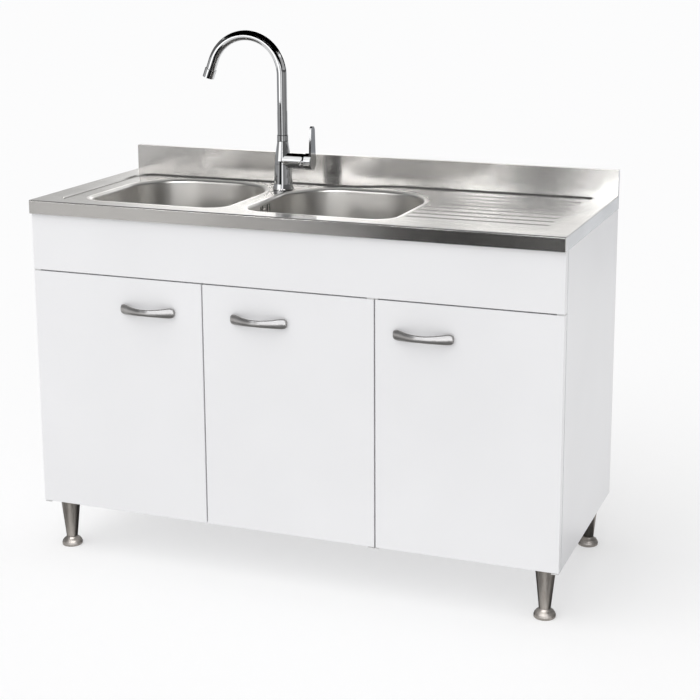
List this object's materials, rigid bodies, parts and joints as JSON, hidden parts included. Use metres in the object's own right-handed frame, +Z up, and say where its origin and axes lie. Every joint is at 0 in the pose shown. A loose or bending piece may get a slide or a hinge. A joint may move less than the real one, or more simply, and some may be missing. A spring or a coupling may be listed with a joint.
{
  "type": "kitchen sink unit",
  "caption": "White kitchen base unit with hinged doors, steel sit-on top with bowls and ribbed drainer, high-arc mixer tap and levelling feet.",
  "frame": {"origin": "on the floor under the middle of the unit's bounding box, feet screwed in", "axes": "+X right along the front, +Y towards the wall, +Z up"},
  "size_m": [1.2, 0.5201, 1.168],
  "materials": {
    "sink_steel": "brushed stainless steel",
    "white_board": "white melamine-faced board",
    "back_board": "thin white fibreboard",
    "tap_chrome": "polished chrome plate",
    "brass": "plain brass",
    "zinc_steel": "zinc-plated steel",
    "white_lacquer": "white lacquered steel",
    "black_rubber": "rubber",
    "grey_plastic": "moulded plastic",
    "white_plastic": "moulded polypropylene",
    "satin_nickel": "satin nickel-coloured die casting"
  },
  "bodies": {
    "cabinet": {"sink_deck": "sink_steel", "bowl_left": "sink_steel", "bowl_right": "sink_steel", "waste_left": "sink_steel", "waste_right": "sink_steel", "overflow_screw": "sink_steel", "side_panel_left": "white_board", "side_panel_right": "white_board", "bottom_panel": "white_board", "front_rail": "white_board", "rear_rail": "white_board", "partition_panel": "white_board", "fascia_panel": "white_board", "back_panel": "back_board", "tap_body": "tap_chrome", "tap_nut": "brass", "tap_washer": "zinc_steel", "hinge_brackets": "white_lacquer", "tap_seal": "black_rubber", "waste_gaskets": "black_rubber", "cartridge": "grey_plastic", "overflow_box": "grey_plastic", "overflow_pipe": "grey_plastic", "waste_nuts": "white_plastic", "link_pipe": "white_plastic", "waste_tee": "white_plastic", "trap_body": "white_plastic", "trap_cup": "white_plastic", "outlet_pipe": "white_plastic", "pipe_nuts": "white_plastic", "leg_cones": "satin_nickel"},
    "door_left_leaf": {"door_left": "white_board", "handle_left": "satin_nickel", "handle_screws_left": "zinc_steel"},
    "door_middle_leaf": {"door_middle": "white_board", "handle_middle": "satin_nickel", "handle_screws_middle": "zinc_steel"},
    "door_right_leaf": {"door_right": "white_board", "handle_right": "satin_nickel", "handle_screws_right": "zinc_steel"},
    "foot_front_left_disc": {"foot_front_left": "satin_nickel"},
    "foot_front_right_disc": {"foot_front_right": "satin_nickel"},
    "foot_rear_left_disc": {"foot_rear_left": "satin_nickel"},
    "foot_rear_right_disc": {"foot_rear_right": "satin_nickel"},
    "swivel_spout": {"spout_tube": "tap_chrome", "spout_collar": "tap_chrome", "aerator": "tap_chrome"},
    "lever_turner": {"lever_spindle": "brass"},
    "tap_lever": {"lever": "tap_chrome"},
    "strainer_left": {"basket_left": "sink_steel"},
    "strainer_right": {"basket_right": "sink_steel"}
  },
  "joints": [
    {"name": "door_left_hinge", "type": "hinge", "parent": "cabinet", "child": "door_left_leaf", "pos_m": [-0.591, -0.227, 0.385], "axis": [0, 0, -1], "range_deg": [0, 100]},
    {"name": "door_middle_hinge", "type": "hinge", "parent": "cabinet", "child": "door_middle_leaf", "pos_m": [0.1935, -0.227, 0.385], "axis": [0, 0, 1], "range_deg": [0, 100]},
    {"name": "door_right_hinge", "type": "hinge", "parent": "cabinet", "child": "door_right_leaf", "pos_m": [0.591, -0.227, 0.385], "axis": [0, 0, 1], "range_deg": [0, 100]},
    {"name": "spout_swivel", "type": "hinge", "parent": "cabinet", "child": "swivel_spout", "pos_m": [-0.142, 0.096, 0.92], "axis": [0, 0, 1], "range_deg": [-15, 165]},
    {"name": "lever_turn", "type": "hinge", "parent": "cabinet", "child": "lever_turner", "pos_m": [-0.093, 0.096, 0.876], "axis": [1, 0, 0], "range_deg": [-45, 45]},
    {"name": "lever_lift", "type": "hinge", "parent": "lever_turner", "child": "tap_lever", "pos_m": [-0.093, 0.096, 0.876], "axis": [0, 1, 0], "range_deg": [0, 22]},
    {"name": "basket_left_lift", "type": "slide", "parent": "cabinet", "child": "strainer_left", "axis": [0, 0, 1], "range_m": [0, 0.12]},
    {"name": "basket_right_lift", "type": "slide", "parent": "cabinet", "child": "strainer_right", "axis": [0, 0, 1], "range_m": [0, 0.12]},
    {"name": "foot_front_left_level", "type": "slide", "parent": "cabinet", "child": "foot_front_left_disc", "axis": [0, 0, -1], "range_m": [0, 0.01]},
    {"name": "foot_front_right_level", "type": "slide", "parent": "cabinet", "child": "foot_front_right_disc", "axis": [0, 0, -1], "range_m": [0, 0.01]},
    {"name": "foot_rear_left_level", "type": "slide", "parent": "cabinet", "child": "foot_rear_left_disc", "axis": [0, 0, -1], "range_m": [0, 0.01]},
    {"name": "foot_rear_right_level", "type": "slide", "parent": "cabinet", "child": "foot_rear_right_disc", "axis": [0, 0, -1], "range_m": [0, 0.01]}
  ]
}
